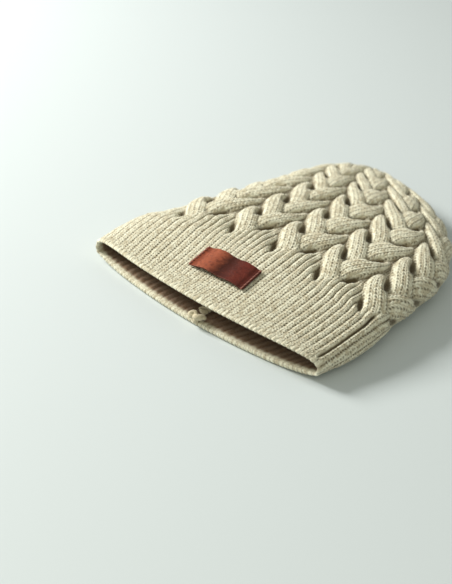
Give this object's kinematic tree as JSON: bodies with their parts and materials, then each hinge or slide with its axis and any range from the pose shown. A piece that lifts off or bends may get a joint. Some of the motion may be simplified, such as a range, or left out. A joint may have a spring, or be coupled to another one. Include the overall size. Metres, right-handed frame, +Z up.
{
  "type": "knit beanie",
  "caption": "Slouchy cable-knit beanie with a ribbed brim, a sewn-on leather strip label and a gathered crown, lying flat.",
  "frame": {"origin": "middle of the mouth, on the surface the hat lies on", "axes": "+X across the mouth, +Y from the mouth to the crown, +Z up out of the front of the hat as it lies flat"},
  "size_m": [0.2374, 0.3054, 0.038],
  "materials": {
    "cable_knit": "chunky cable knit in marled ecru wool yarn",
    "rib_knit": "one-by-one rib knit in the same marled ecru wool yarn",
    "seam_yarn": "plied ecru wool yarn",
    "label_leather": "smooth oiled red-brown leather, creased at the folds",
    "label_thread": "waxed brown sewing thread",
    "care_satin": "white woven satin tape"
  },
  "bodies": {
    "hat": {"cable_body": "cable_knit", "rib_band_back": "rib_knit", "back_seam": "seam_yarn", "seam_linking_yarn": "seam_yarn", "seam_end_knot": "seam_yarn", "care_label_stitches": "care_satin"},
    "front_band": {"rib_band_front": "rib_knit", "leather_label": "label_leather", "label_stitches_left": "label_thread", "label_stitches_right": "label_thread"},
    "crown": {"cable_crown": "cable_knit", "crown_seam": "seam_yarn", "crown_linking_yarn": "seam_yarn", "crown_gather_yarn": "seam_yarn", "crown_knot": "seam_yarn"},
    "care_flap": {"care_label": "care_satin"}
  },
  "joints": [
    {"name": "mouth_open", "type": "hinge", "parent": "hat", "child": "front_band", "pos_m": [0, 0.078, 0.0354], "axis": [-1, 0, 0], "range_deg": [0, 30]},
    {"name": "crown_fold", "type": "hinge", "parent": "hat", "child": "crown", "pos_m": [0, 0.185, 0.0383], "axis": [1, 0, 0], "range_deg": [0, 50]},
    {"name": "care_flap_lift", "type": "hinge", "parent": "hat", "child": "care_flap", "pos_m": [0.0068, 0.112, 0.0102], "axis": [0, -1, 0], "range_deg": [0, 35]}
  ]
}
